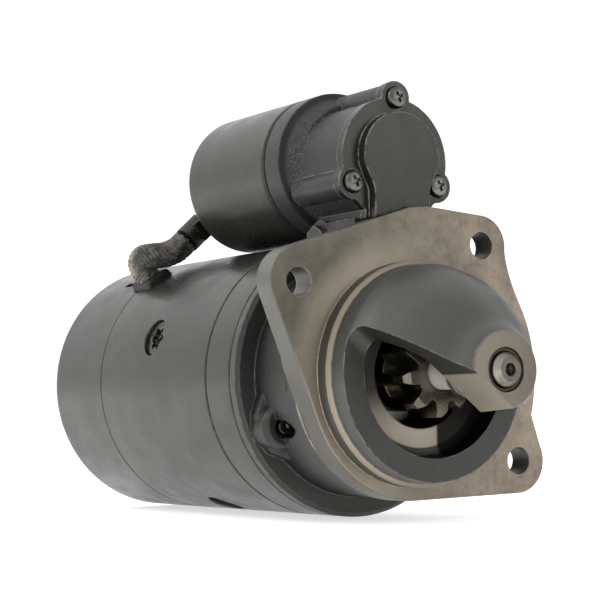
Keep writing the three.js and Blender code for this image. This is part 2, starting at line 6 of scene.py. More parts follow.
import json
import math
from types import SimpleNamespace

import bmesh
import bpy
from mathutils import Matrix, Vector


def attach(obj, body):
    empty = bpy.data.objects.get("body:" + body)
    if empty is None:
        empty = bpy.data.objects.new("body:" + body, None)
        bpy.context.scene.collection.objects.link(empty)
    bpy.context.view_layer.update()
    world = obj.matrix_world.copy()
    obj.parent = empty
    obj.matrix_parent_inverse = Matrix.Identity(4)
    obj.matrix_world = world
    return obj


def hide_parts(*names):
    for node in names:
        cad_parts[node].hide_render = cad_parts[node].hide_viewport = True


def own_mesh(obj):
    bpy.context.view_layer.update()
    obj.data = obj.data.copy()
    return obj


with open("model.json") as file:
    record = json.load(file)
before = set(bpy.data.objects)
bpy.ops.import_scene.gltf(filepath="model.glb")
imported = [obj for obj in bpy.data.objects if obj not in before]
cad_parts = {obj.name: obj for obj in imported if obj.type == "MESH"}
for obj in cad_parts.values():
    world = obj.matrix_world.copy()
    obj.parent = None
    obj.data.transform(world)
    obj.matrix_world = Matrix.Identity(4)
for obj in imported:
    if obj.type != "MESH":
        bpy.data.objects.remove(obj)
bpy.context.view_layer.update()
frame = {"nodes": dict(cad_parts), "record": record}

MM = 0.001
SHARP_ANGLE = math.radians(32)

# ---- Sizes, in millimetres: +X runs to the nose from the flange's front face, +Z to the solenoid ----
GAP = 0.15
BARREL_R = 57.5
BARREL_INNER_R = 50.5
HOUSING_REAR_X = -45.3
YOKE_FRONT_X = -64.5
YOKE_REAR_X = -162.4
REAR_X = -216
FLANGE_T = 11
BOLT_CIRCLE_R = 63
BOLT_HOLE_R = 5.6
BOLT_ANGLES = (145.5, 55.5, -34.5)
NECK_R = 48.8
PILOT_R = 44.5
NOSE_R = 42.4
RIM_X = 14.9
POCKET_R = 33
POCKET_FLOOR_X = 5
PORT_R = 21.5
BOSS_X = 59
BOSS_R = 14.5
BOSS_BACK_X = 37.5
BUSH_R = 8
HOOD_TURN = -39
HOOD_DROP = 9.3
SOLENOID_Z = 89
SOLENOID_R = 30.4
SOLENOID_INNER_R = 27.6
SOLENOID_REAR_X = -127.8
SOLENOID_FRONT_X = -61.7
TOWER_R = 24.7
TOWER_Z = 86.1
TOWER_FRONT_X = -13
TOWER_HALF_WIDTH = 14
COVER_FRONT_X = -8.6
PAD_FRONT_X = -4
COVER_SCREWS = ((1, 111.4), (-20.4, 76.4), (20.4, 76.4))
COVER_HOLE_R = 2.8
LEVER_X = -38
LEVER_Z = 56
POLES = 4
POLE_ANGLE = 160
POLE_MIDDLE_X = -116
THROUGH_BOLT_R = 46.6
THROUGH_BOLT_ANGLES = (205, 25)
THROUGH_HOLE_R = 3.4
GROMMET_ANGLE = 125
GROMMET_X = (-166, -149)
GROMMET_HALF_WIDTH = 7
SHAFT_END_X = 62
SHAFT_R = 8.4
NOSE_SHAFT_R = 6.6
CORE_SHAFT_R = 10
PINION_TEETH = 9
PINION_TIP_R = 17.3
PINION_ROOT_R = 11.4
PINION_X = (0, 19.8)
RETURN_SPRING_X = (-102, -60.4)
CUT_REACH = 75
FLOOR_GAP = 1


# ---- Solids ----
def polar(radius, degrees):
    """The two coordinates of a point at a radius and an angle."""
    angle = math.radians(degrees)
    return radius * math.cos(angle), radius * math.sin(angle)


def solid(vertices, faces):
    """A closed solid from its vertices and faces, facing out."""
    mesh = bpy.data.meshes.new("solid")
    mesh.from_pydata(vertices, [], faces)
    work = bmesh.new()
    work.from_mesh(mesh)
    bmesh.ops.recalc_face_normals(work, faces=work.faces)
    if work.calc_volume(signed=True) < 0:
        bmesh.ops.reverse_faces(work, faces=work.faces)
    work.to_mesh(mesh)
    work.free()
    made = bpy.data.objects.new("solid", mesh)
    bpy.context.scene.collection.objects.link(made)
    return made


def combine(base, tools, operation):
    """base joined with, cut by or kept inside each of the tools, which are used up."""
    for tool in tools:
        step = base.modifiers.new("combine", "BOOLEAN")
        step.object = tool
        step.operation = operation
        step.solver = "MANIFOLD"
    shown = base.evaluated_get(bpy.context.evaluated_depsgraph_get())
    mesh = bpy.data.meshes.new_from_object(shown)
    base.modifiers.clear()
    base.data = mesh
    for tool in tools:
        bpy.data.objects.remove(tool)
    return base


def join(base, *tools):
    return combine(base, tools, "UNION")


def cut(base, *tools):
    return combine(base, tools, "DIFFERENCE")


def within(base, *tools):
    return combine(base, tools, "INTERSECT")


def bend(start, corner, end, t):
    """The point at t, from 0 to 1, on the curve from start to end that leans towards corner."""
    return tuple((1 - t) ** 2 * start + 2 * t * (1 - t) * corner + t * t * end)


def rounded(points, radius, steps=4):
    """A closed outline with its corners rounded. radius is one size, or one for each point."""
    made = []
    for i, here in enumerate(points):
        r = radius if isinstance(radius, (int, float)) else radius[i]
        corner = Vector(here)
        back = Vector(points[i - 1]) - corner
        ahead = Vector(points[(i + 1) % len(points)]) - corner
        opening = back.angle(ahead, math.pi)
        if r <= 0 or opening > math.radians(174):
            made.append(tuple(here))
            continue
        reach = min(r / math.tan(opening / 2), back.length * 0.48, ahead.length * 0.48)
        start = corner + back.normalized() * reach
        end = corner + ahead.normalized() * reach
        made += [bend(start, corner, end, k / steps) for k in range(steps + 1)]
    return made


def turned(profile, segments=96, y=0, z=0):
    """A solid turned about an axis along X from a closed (x, radius) profile."""
    vertices, faces, rings = [], [], []
    for x, r in profile:
        count = segments if r > 1e-6 else 1
        rings.append(range(len(vertices), len(vertices) + count))
        for k in range(count):
            a = 2 * math.pi * k / segments
            vertices.append((x, y + r * math.cos(a), z + r * math.sin(a)))
    for first, second in zip(rings, rings[1:] + rings[:1]):
        if len(first) == 1 and len(second) == 1:
            continue
        for k in range(segments):
            n = (k + 1) % segments
            if len(first) == 1:
                faces.append((first[0], second[k], second[n]))
            elif len(second) == 1:
                faces.append((first[k], second[0], first[n]))
            else:
                faces.append((first[k], second[k], second[n], first[n]))
    return solid(vertices, faces)


def spindle(profile, segments=96, y=0, z=0, soft=0):
    """A turned solid that is closed at the axis, its corners rounded by soft."""
    points = [(profile[0][0], 0), *profile, (profile[-1][0], 0)]
    radii = [0, *[soft] * len(profile), 0]
    return turned(rounded(points, radii) if soft else points, segments, y, z)


def rod(x0, x1, radius, segments=48, y=0, z=0, soft=0):
    """A round bar along X."""
    return spindle([(x0, radius), (x1, radius)], segments, y, z, soft)


def extrude(outline, low, high, place):
    """An outline pushed from low to high; place turns (a, b, height) into a point."""
    count = len(outline)
    vertices = [place(a, b, h) for h in (low, high) for a, b in outline]
    sides = [(k, (k + 1) % count, count + (k + 1) % count, count + k) for k in range(count)]
    caps = [tuple(range(count)), tuple(range(count, 2 * count))]
    return solid(vertices, sides + caps)


def soften_ends(shape, width, faces_x, steps=3):
    """Rounds the edges around the flat ends of a solid that lie at the given x."""
    sharp = 0.5
    work = bmesh.new()
    work.from_mesh(shape.data)
    edges = [
        e for e in work.edges
        if any(all(abs(v.co.x - x) < 1e-4 for v in e.verts) for x in faces_x)
        and e.calc_face_angle(0) > sharp
    ]
    bmesh.ops.bevel(
        work, geom=edges, offset=width, offset_type="OFFSET", segments=steps, profile=0.5,
        affect="EDGES", clamp_overlap=True,
    )
    work.to_mesh(shape.data)
    work.free()
    return shape


def prism_x(outline, x0, x1):
    """A (y, z) outline pushed along X."""
    return extrude(outline, x0, x1, lambda a, b, h: (h, a, b))


def prism_y(outline, y0, y1):
    """An (x, z) outline pushed along Y."""
    return extrude(outline, y0, y1, lambda a, b, h: (a, h, b))


def block(x0, x1, y0, y1, z0, z1):
    """A box with its sides along the axes."""
    return prism_x([(y0, z0), (y1, z0), (y1, z1), (y0, z1)], x0, x1)


def cross_bar(y0, y1, radius, x, z):
    """A round bar along Y."""
    return prism_y(arc(x, z, radius, 0, 351, 39), y0, y1)


def turn(shape, degrees):
    """Turns a solid about the X axis."""
    shape.data.transform(Matrix.Rotation(math.radians(degrees), 4, "X"))
    return shape


def arc(a, b, radius, start, end, steps=16):
    """Points on an arc about (a, b), from one angle to another."""
    around = (polar(radius, start + (end - start) * k / steps) for k in range(steps + 1))
    return [(a + across, b + up) for across, up in around]


def smooth_line(points, steps=6):
    """Points on a smooth line through the given ones."""
    padded = [points[0], *points, points[-1]]
    made = []
    for i in range(1, len(padded) - 2):
        a, b, c, d = (Vector(p) for p in padded[i - 1 : i + 3])
        for k in range(steps):
            t = k / steps
            lower = 2 * b + (c - a) * t + (2 * a - 5 * b + 4 * c - d) * t * t
            made.append(tuple(0.5 * (lower + (3 * b - a - 3 * c + d) * t ** 3)))
    return [*made, tuple(points[-1])]



# ---- Materials: places are in millimetres, bevel radii and bump depths in metres ----
class Finish:
    """A node material. Values pass between its methods as sockets."""

    def __init__(self, name, metal, rough, bevel):
        self.material = bpy.data.materials.new(name)
        self.material.use_nodes = True
        self.tree = self.material.node_tree
        self.tree.nodes.clear()
        self.surface = self.add("ShaderNodeBsdfPrincipled")
        output = self.add("ShaderNodeOutputMaterial")
        self.tree.links.new(self.surface.outputs[0], output.inputs["Surface"])
        self.surface.inputs["Metallic"].default_value = metal
        self.surface.inputs["Roughness"].default_value = rough
        self.place = self.add("ShaderNodeTexCoord").outputs["Object"]
        self.edge = self.add("ShaderNodeBevel")
        self.edge.samples = 4
        self.edge.inputs["Radius"].default_value = bevel
        self.feed("Normal", self.edge.outputs[0])

    def add(self, kind, **settings):
        made = self.tree.nodes.new(kind)
        for name, value in settings.items():
            setattr(made, name, value)
        return made

    def put(self, socket, value):
        """Links a socket to another one, or sets it to a number or a colour."""
        if isinstance(value, bpy.types.NodeSocket):
            self.tree.links.new(value, socket)
        elif isinstance(value, tuple) and len(socket.default_value) == 4:
            socket.default_value = (*value, 1)
        else:
            socket.default_value = value

    def feed(self, name, value):
        self.put(self.surface.inputs[name], value)

    def noise(self, scale, detail=4, rough=0.6, stretch=(1, 1, 1)):
        mapping = self.add("ShaderNodeMapping")
        mapping.inputs["Scale"].default_value = stretch
        self.put(mapping.inputs["Vector"], self.place)
        made = self.add("ShaderNodeTexNoise")
        self.put(made.inputs["Vector"], mapping.outputs[0])
        for name, value in (("Scale", scale), ("Detail", detail), ("Roughness", rough)):
            made.inputs[name].default_value = value
        return made.outputs[0]

    def math(self, operation, a, b=0.0):
        made = self.add("ShaderNodeMath", operation=operation)
        self.put(made.inputs[0], a)
        self.put(made.inputs[1], b)
        return made.outputs[0]

    def times(self, *factors):
        product = factors[0]
        for factor in factors[1:]:
            product = self.math("MULTIPLY", product, factor)
        return product

    def most(self, *masks):
        """The largest of several masks."""
        largest = masks[0]
        for mask in masks[1:]:
            largest = self.math("MAXIMUM", largest, mask)
        return largest

    def between(self, value, low, high, to_low=0.0, to_high=1.0):
        """value, spread from low..high onto to_low..to_high and held there."""
        made = self.add("ShaderNodeMapRange")
        for name, number in (("From Min", low), ("From Max", high), ("To Min", to_low), ("To Max", to_high)):
            made.inputs[name].default_value = number
        self.put(made.inputs["Value"], value)
        return made.outputs[0]

    def outside(self, mask, most=1.0, least=0.0):
        """The opposite of a mask: most where it is 0, down to least where it is 1."""
        return self.between(mask, 0, 1, most, least)

    def mix(self, amount, a, b):
        made = self.add("ShaderNodeMix", data_type="RGBA")
        self.put(made.inputs[0], amount)
        self.put(made.inputs[6], a)
        self.put(made.inputs[7], b)
        return made.outputs[2]

    def xyz(self):
        """Where the point is, in millimetres."""
        scaled = self.add("ShaderNodeVectorMath", operation="SCALE")
        self.put(scaled.inputs[0], self.place)
        self.put(scaled.inputs["Scale"], 1 / MM)
        made = self.add("ShaderNodeSeparateXYZ")
        self.put(made.inputs[0], scaled.outputs[0])
        return made.outputs

    def own_normal(self):
        return self.add("ShaderNodeNewGeometry").outputs["Normal"]

    def facing(self):
        """How far the face points along each axis."""
        made = self.add("ShaderNodeSeparateXYZ")
        self.put(made.inputs[0], self.own_normal())
        return made.outputs

    def from_shaft(self, y, z):
        """How far a point is from the shaft's axis."""
        return self.math("SQRT", self.math("ADD", self.times(y, y), self.times(z, z)))

    def edge_wear_and_highlight(self):
        """Where the rounded normal leaves the face's own normal, broken up by noise."""
        same = self.add("ShaderNodeVectorMath", operation="DOT_PRODUCT")
        self.put(same.inputs[0], self.own_normal())
        self.put(same.inputs[1], self.edge.outputs[0])
        sharp = self.between(same.outputs["Value"], 0.82, 0.985, 1, 0)
        return self.times(sharp, self.between(self.noise(300), 0.38, 0.58))

    def bump(self, height, strength, depth=0.0002):
        made = self.add("ShaderNodeBump")
        made.inputs["Strength"].default_value = strength
        made.inputs["Distance"].default_value = depth
        self.put(made.inputs["Height"], height)
        self.put(made.inputs["Normal"], self.edge.outputs[0])
        self.feed("Normal", made.outputs[0])


def paint(name, dark, light, rough, grain, edge_lightening=0.4, sheen=0.5, bevel=0.0007):
    """Satin paint over a casting or a rolled shell, with clouding, dust, a fine grain, worn edges lightened
    further as a painted edge highlight, and painted shade on faces near the solenoid that point down.
    """
    f = Finish(name, 0.0, rough, bevel)
    cloud = f.between(f.noise(24, 6, 0.65), 0.35, 0.7)
    fine = f.between(f.noise(420), 0.35, 0.75)
    dust = f.times(fine, f.between(f.noise(14, 3), 0.4, 0.7, 0.1, 0.5))
    colour = f.mix(dust, f.mix(cloud, dark, light), tuple(2.2 * c for c in light))
    primer_and_highlight = (0.42, 0.41, 0.385)
    # Worn edges show a light undercoat, made bright enough to also stand as a painted edge highlight.
    f.feed("Base Color", f.mix(f.times(f.edge_wear_and_highlight(), edge_lightening), colour, primer_and_highlight))
    warm, cool = (1, 0.955, 0.885), (0.95, 1, 0.915)
    f.feed("Specular Tint", f.mix(f.between(f.noise(11, 3, 0.55), 0.35, 0.65), warm, cool))
    # Painted shade: less specular where faces near the solenoid point down.
    shaded_underside = f.times(f.between(f.xyz()[2], 55, 62), f.between(f.facing()[2], -0.15, -0.6))
    f.feed("Specular IOR Level", f.outside(shaded_underside, sheen, 0.15 * sheen))
    f.feed("Roughness", f.between(f.noise(70, 5), 0.3, 0.7, rough - 0.06, rough + 0.1))
    f.bump(f.math("ADD", f.noise(900, 3), f.times(f.noise(45, 3, 0.5), 0.6)), grain, 0.0003)
    return f


def metal(name, dark, light, rough, grain=0.15, stretch=(1, 1, 1)):
    """Bare metal with a machined or handled surface."""
    f = Finish(name, 1.0, rough, 0.0004)
    cloud = f.between(f.noise(60, 6), 0.3, 0.7)
    lines = f.noise(700, 3, 0.6, stretch)
    grimy = f.between(f.noise(160, 5, 0.65), 0.5, 0.72, 0, 0.75)
    colour = f.mix(f.times(lines, 0.5), f.mix(cloud, dark, light), dark)
    f.feed("Base Color", f.mix(grimy, colour, tuple(0.45 * c for c in dark)))
    f.feed("Roughness", f.between(cloud, 0, 1, rough - 0.06, rough + 0.1))
    f.bump(lines, grain)
    return f


def speckled(name, dark, light, rough, scale=500):
    """Rubber, carbon or moulded plastic."""
    f = Finish(name, 0.0, rough, 0.0004)
    specks = f.between(f.noise(scale, 5, 0.7), 0.4, 0.7)
    f.feed("Base Color", f.mix(specks, dark, light))
    f.feed("Roughness", f.between(f.noise(120), 0.3, 0.7, rough - 0.08, rough + 0.08))
    f.bump(f.noise(scale * 2, 3), 0.2)
    return f


def lead_finish():
    """Stranded copper lead, its cloth scorched dark, with worn patches where the wire shows through."""
    f = Finish("scorched_lead", 0.0, 0.5, 0.0004)
    strands = f.between(f.noise(900, 4, 0.7), 0.35, 0.7)
    soot = f.between(f.noise(120), 0.42, 0.6)
    scorched = f.mix(soot, f.mix(strands, (0.02, 0.02, 0.018), (0.12, 0.115, 0.11)), (0.006, 0.006, 0.005))
    frayed = f.mix(strands, (0.16, 0.125, 0.085), (0.42, 0.37, 0.29))
    elbow = f.between(f.xyz()[0], -151.5, -156.5)
    patches = f.between(f.noise(150, 3), 0.52, 0.6)
    worn = f.most(f.times(elbow, f.between(patches, 0, 1, 0.3, 1)), f.times(patches, 0.3))
    f.feed("Base Color", f.mix(worn, scorched, frayed))
    f.feed("Roughness", f.between(strands, 0, 1, 0.42, 0.62))
    f.bump(f.noise(1400, 3), 0.35, 0.0003)
    return f


def housing_zones(f):
    """Masks for the looks of the housing, from where a point is and from where its face points."""
    x, y, z = f.xyz()
    ahead, _, up = f.facing()
    radius = f.from_shaft(y, z)
    turn_y, turn_z = -math.sin(math.radians(HOOD_TURN)), math.cos(math.radians(HOOD_TURN))
    height = f.math("ADD", f.times(y, turn_y), f.times(z, turn_z))
    below_hood = f.between(height, 0.5 - HOOD_DROP, 0.2 - HOOD_DROP)

    zone = SimpleNamespace(x=x, y=y, z=z)
    zone.front = f.between(ahead, 0.55, 0.8)
    behind_rim = f.between(x, RIM_X - 0.2, RIM_X - 0.6)
    zone.pocket = f.times(f.between(radius, POCKET_R + 0.8, POCKET_R + 0.2), behind_rim)
    zone.nose = f.times(f.between(x, 7, 9), f.outside(zone.pocket, 0.2), f.outside(zone.front))
    behind_flange = f.between(x, -FLANGE_T - 0.2, -FLANGE_T - 0.6)
    zone.neck = f.times(f.between(x, -40.5, -38.5), behind_flange, f.between(z, 56, 50))
    zone.throat = f.times(f.between(x, -47.2, -46.2), f.between(x, -37, -38.5), f.between(z, 60, 66))
    zone.sparks = f.times(zone.throat, f.between(f.noise(1500, 2), 0.5, 0.68))

    beside_flange = f.times(f.between(x, -FLANGE_T - 0.7, -FLANGE_T - 0.2), f.between(x, 7.3, 6.9))
    flange = f.times(f.between(radius, NOSE_R, NOSE_R + 0.7), beside_flange)
    # Polish beside the pilot, only on the left, where it stands as a painted highlight.
    zone.polished = f.times(f.between(radius, 58, PILOT_R), f.between(y, 20, -20))
    zone.polished_flange = f.times(zone.polished, flange)
    zone.boss_face = f.times(f.between(x, BOSS_X - 0.7, BOSS_X - 0.3), 0.8)
    floor_x = POCKET_FLOOR_X
    on_floor = f.times(f.between(x, floor_x + 0.5, floor_x + 0.3), f.between(x, floor_x - 0.8, floor_x - 0.4))
    zone.land = f.times(f.between(radius, 29.2, 28.6), on_floor)
    zone.lit_land = f.times(zone.land, f.between(z, -6, -22, 0, 0.9))
    arm_place = f.times(f.between(x, 34, 37), f.between(y, -13.5, -12.5))
    zone.arm = f.times(below_hood, arm_place, f.between(up, 0.05, -0.2))
    zone.bare = f.most(flange, zone.boss_face, zone.land, f.times(zone.arm, 0.8))

    in_front = f.times(f.between(x, RIM_X + 0.6, RIM_X + 1.6), f.between(zone.arm, 0.5, 0))
    zone.hood_cut = f.times(below_hood, in_front, f.between(up, -0.5, -0.65))
    zone.shadowed = f.times(f.between(y, 6.8, 7.8), f.most(zone.pocket, zone.land))
    zone.tower = f.between(z, 56, 62)
    zone.under_tower = f.times(f.between(z, 60, 64), f.between(up, -0.05, -0.5))
    zone.right = f.between(y, 6, 14)
    zone.nose_right = f.times(f.between(x, 15, 16), zone.right)
    return zone


def housing_paint(f, zone, cloud, rubbed_and_highlit):
    """The cast housing's paint, with painted shade in its pocket, on the neck behind the flange and on faces
    that point to the nose, and painted light on the nose.
    """
    fine = f.between(f.noise(650, 4, 0.65), 0.35, 0.75)
    colour = f.mix(cloud, (0.013, 0.013, 0.0135), (0.027, 0.027, 0.027))
    colour = f.mix(f.times(fine, 0.4), colour, (0.06, 0.06, 0.058))
    # Painted shade: darker in the pocket, on the neck behind the flange and on faces that point to the nose.
    hollow = f.most(zone.pocket, zone.neck, f.times(zone.front, 0.55))
    colour = f.mix(f.times(hollow, 0.75), colour, (0.006, 0.006, 0.006))
    # Painted light: the nose lighter towards the boss, except on its right side, which is a darker brown.
    lit_nose = f.mix(f.between(zone.x, 12, 45), (0.135, 0.138, 0.128), (0.19, 0.19, 0.17))
    colour = f.mix(zone.nose, colour, f.mix(zone.right, lit_nose, (0.055, 0.048, 0.038)))
    # Worn edges lightened, also as a painted edge highlight.
    return f.mix(f.times(rubbed_and_highlit, 0.85), colour, (0.32, 0.31, 0.28))


def housing_iron(f, zone, cloud, rubbed_and_highlit):
    """The housing's machined iron: stained, browner and, as painted light, lighter to the right, with a
    polish beside the pilot that is lighter on its left as a painted highlight.
    """
    # Painted light: the iron lighter towards the right.
    across = f.mix(f.between(zone.y, -55, 5), (0.080, 0.074, 0.053), (0.155, 0.134, 0.103))
    across = f.mix(f.between(zone.y, 0, 55), across, (0.255, 0.208, 0.158))
    stained = f.add("ShaderNodeVectorMath", operation="SCALE")
    f.put(stained.inputs[0], across)
    f.put(stained.inputs["Scale"], f.between(f.noise(55, 6, 0.7), 0.36, 0.6, 0.62, 1.12))
    specks = f.between(f.noise(420, 5, 0.7), 0.5, 0.75, 0, 0.45)
    face = f.mix(specks, stained.outputs[0], (0.052, 0.045, 0.034))
    # Painted highlight: the polish beside the pilot lighter on the left.
    face = f.mix(f.times(zone.polished, 0.7), face, (0.40, 0.345, 0.26))
    side = f.mix(cloud, (0.078, 0.077, 0.069), (0.125, 0.122, 0.11))
    # Worn edges lightened, also as a painted edge highlight.
    return f.mix(f.times(rubbed_and_highlit, 0.8), f.mix(zone.front, side, face), (0.52, 0.48, 0.40))


def housing_finish():
    """The drive-end housing: cast and painted, with its flange, pilot, boss and pocket land machined bare."""
    f = Finish("housing_cast", 0.0, 0.5, 0.0009)
    zone = housing_zones(f)
    cloud = f.between(f.noise(26, 6, 0.65), 0.32, 0.7)
    # Edge lightening, part worn edges and part painted edge highlight, kept low on the neck.
    rubbed_and_highlit = f.times(f.edge_wear_and_highlight(), f.outside(zone.neck, 1, 0.25))
    colour = f.mix(zone.bare, housing_paint(f, zone, cloud, rubbed_and_highlit), housing_iron(f, zone, cloud, rubbed_and_highlit))
    # The darkened land, the darkened hood cut face and the near-black strip are painted shade, that strip
    # being the boss's shadow on the pocket's right; lit_land is a painted pool of light on the land's lower
    # part; boss face, arm and sparks are the metal's own colours.
    for mask, amount, shade in (
        (zone.land, 0.9, (0.016, 0.016, 0.014)),
        (zone.lit_land, 1.0, (0.42, 0.37, 0.30)),
        (zone.boss_face, 0.5, (0.075, 0.068, 0.052)),
        (zone.arm, 0.8, (0.23, 0.205, 0.155)),
        (zone.hood_cut, 0.9, (0.012, 0.011, 0.009)),
        (zone.shadowed, 0.95, (0.004, 0.004, 0.004)),
        (zone.sparks, 0.4, (0.18, 0.175, 0.175)),
    ):
        colour = f.mix(f.times(mask, amount), colour, shade)
    f.feed("Base Color", colour)
    f.feed("Metallic", f.most(f.times(zone.bare, 0.3), f.times(zone.polished_flange, 0.75)))
    f.feed("Specular Tint", (1, 0.99, 0.93))
    # Painted shade: less specular in the boss's shadow, on the hood's cut face, under the tower and on the
    # nose's right side; less also on everything above the barrel, round the tower.
    dull = f.most(
        f.times(zone.shadowed, 0.9), f.times(zone.tower, 0.5), f.times(zone.hood_cut, 0.6),
        f.times(zone.under_tower, 0.9), f.times(zone.nose_right, 0.6),
    )
    f.feed("Specular IOR Level", f.outside(dull, 0.5))
    rough = f.between(f.noise(80, 5), 0.25, 0.75, 0.34, 0.48)
    f.feed("Roughness", f.math("ADD", rough, f.times(zone.throat, 0.25)))
    grain = f.times(f.noise(850, 3), f.outside(zone.bare, 1.0, 0.25))
    f.bump(f.math("ADD", grain, f.times(zone.sparks, 1.5)), 0.32, 0.0003)
    return f


BROWNED = ((0.16, 0.145, 0.115), (0.42, 0.39, 0.34))


def spindle_finish():
    """The shaft: browned steel, made light between the pinion and the boss as painted light, with a darker
    flat end and a centre hole painted dark as shade.
    """
    f = metal("turned_spindle", *BROWNED, 0.3)
    x, y, z = f.xyz()
    hole = f.times(f.between(f.from_shaft(y, z), 2.6, 2.2), f.between(x, SHAFT_END_X - 6, SHAFT_END_X - 5.5))
    lit_stub = f.times(f.between(x, 15, 16), f.between(x, 37.2, 36.8))
    flat_end = f.between(x, SHAFT_END_X - 0.3, SHAFT_END_X - 0.1)
    colour = f.surface.inputs["Base Color"].links[0].from_socket
    # Painted light: the stretch between the pinion and the boss, made light and less metallic.
    colour = f.mix(f.times(lit_stub, 0.85), colour, (0.45, 0.44, 0.42))
    colour = f.mix(f.times(flat_end, 0.8), colour, (0.10, 0.095, 0.08))
    # Painted shade: the centre hole near black.
    f.feed("Base Color", f.mix(hole, colour, (0.006, 0.005, 0.004)))
    f.feed("Metallic", f.times(f.outside(lit_stub, 1, 0.25), f.outside(hole)))
    return f


FINISH = {
    "paint": paint("shell_paint", (0.009, 0.009, 0.0082), (0.021, 0.0205, 0.018), 0.29, 0.08),
    "cast": paint("cast_paint", (0.009, 0.009, 0.008), (0.020, 0.020, 0.0178), 0.24, 0.14, 1.0, 0.38, 0.0010),
    "housing": housing_finish(),
    "steel": metal("bright_steel", (0.28, 0.275, 0.26), (0.56, 0.55, 0.52), 0.28, 0.12, (1, 12, 12)),
    "worn": metal("browned_steel", *BROWNED, 0.3),
    "spindle": spindle_finish(),
    "sooty": metal("sooty_copper", (0.026, 0.025, 0.022), (0.10, 0.096, 0.084), 0.42, 0.3),
    "zinc": metal("plated_screw", (0.07, 0.07, 0.064), (0.26, 0.255, 0.235), 0.3, 0.4),
    "oily": metal("oiled_gear_steel", (0.09, 0.083, 0.06), (0.27, 0.25, 0.19), 0.27, 0.3),
    "bronze": metal("sintered_bronze", (0.035, 0.026, 0.02), (0.10, 0.07, 0.045), 0.45, 0.25),
    "copper": metal("copper_winding", (0.22, 0.085, 0.045), (0.50, 0.25, 0.14), 0.4, 0.3, (1, 20, 20)),
    "lamination": metal("core_laminations", (0.12, 0.12, 0.12), (0.34, 0.34, 0.34), 0.45, 0.4, (30, 1, 1)),
    "carbon": speckled("brush_carbon", (0.012, 0.012, 0.013), (0.05, 0.05, 0.052), 0.5),
    "bakelite": speckled("moulded_cap", (0.012, 0.010, 0.009), (0.03, 0.025, 0.022), 0.4, 250),
    "rubber": speckled("seal_rubber", (0.004, 0.004, 0.004), (0.020, 0.0195, 0.017), 0.6),
    "sheath": lead_finish(),
}


def show(name, shape, body, slot, finish, *nodes):
    """Puts a finished solid on its body, in place of the CAD nodes it stands for."""
    shape.name = name
    shape.data.name = name
    shape.data.transform(Matrix.Scale(MM, 4))
    for face in shape.data.polygons:
        face.use_smooth = True
    shape.data.set_sharp_from_angle(angle=SHARP_ANGLE)
    weights = shape.modifiers.new("weighted", "WEIGHTED_NORMAL")
    weights.keep_sharp = True
    shape.data.materials.clear()
    shape.data.materials.append(FINISH[finish].material)
    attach(shape, body)
    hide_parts(*nodes)
    return shape


# ---- Drive-end housing ----
THROUGH_BOLTS = [polar(THROUGH_BOLT_R, angle) for angle in THROUGH_BOLT_ANGLES]
MOUNTING_BOLTS = [polar(BOLT_CIRCLE_R, angle) for angle in BOLT_ANGLES]


def holes(x0, x1, radius, places, segments=24):
    """A rod along X at each (y, z) place, to cut holes with."""
    return [rod(x0, x1, radius, segments, y, z) for y, z in places]


def flange_outline(grow=0):
    """The mounting flange's (y, z) outline, pushed outwards by grow."""
    _, (y2, z2), (y3, z3) = MOUNTING_BOLTS
    foot_r = 49.4
    foot = math.degrees(math.asin(49.2 / foot_r))
    right = arc(0, 0, 62 + grow, -16, 27)
    hollow = [Vector(p) for p in (right[-1], (49.5 + grow, 39), (y2 + 12.3 + grow, z2 - 3))]
    return [
        *right, *[bend(*hollow, k / 10) for k in range(1, 10)],
        *arc(y2, z2, 12.4 + grow, -8, 84), (9, 67 + grow), (1, 66.3 + grow),
        *arc(-50.8, 36.2, 13.6 + grow, 107, 201), *arc(1.5, -0.6, foot_r + grow, 201, 180 + foot, 28),
        *arc(y3, z3, 13.2 + grow, -90, 24),
    ]


def window_cut(floor):
    """What the window takes away in front of the rim, down to a floor of (x, z) points."""
    ends = [(floor[-1][0], -CUT_REACH), (floor[0][0], -CUT_REACH)]
    return turn(prism_y([*floor, *ends], -CUT_REACH, CUT_REACH), HOOD_TURN)


def hood():
    """The half cone over the pinion, running out into the boss that carries the shaft's end."""
    line = [(RIM_X, NOSE_R), (24, 39.4), (33, 34.2), (42, 27.4), (51, 19.6), (56, 16), (BOSS_X - 1, BOSS_R)]
    outside = spindle([(8, NOSE_R), *smooth_line(line, 5)], 128)
    inside = spindle([(3, POCKET_R), (20, POCKET_R), (30, 28), (BOSS_BACK_X, 21)], 96, soft=2)
    fillet = 6.5
    corner = arc(RIM_X + fillet, -HOOD_DROP - fillet, fillet, 180, 90, 8)
    window = window_cut([*corner, (CUT_REACH, -HOOD_DROP)])
    beside_boss = block(RIM_X, BOSS_X + 1, 1, 60, -70, -12.5)
    shell = cut(outside, inside, window, beside_boss)
    under_boss = window_cut([(RIM_X, -HOOD_DROP), (CUT_REACH, -HOOD_DROP)])
    boss = spindle([(BOSS_BACK_X, BOSS_R + 1.5), (BOSS_X, BOSS_R)], 96, soft=0.7)
    return join(shell, cut(boss, under_boss))


def tower_section(x0, x1, grow=0):
    """The lever tower: a round top on straight sides, with a lobe for each cover screw."""
    top = rod(x0, x1, TOWER_R + grow, 96, 0, TOWER_Z)
    side = TOWER_HALF_WIDTH + grow
    lobes = [rod(x0, x1, 6.2 + grow, 40, y, z) for y, z in COVER_SCREWS]
    return join(top, block(x0, x1, -side, side, 46, TOWER_Z), *lobes)


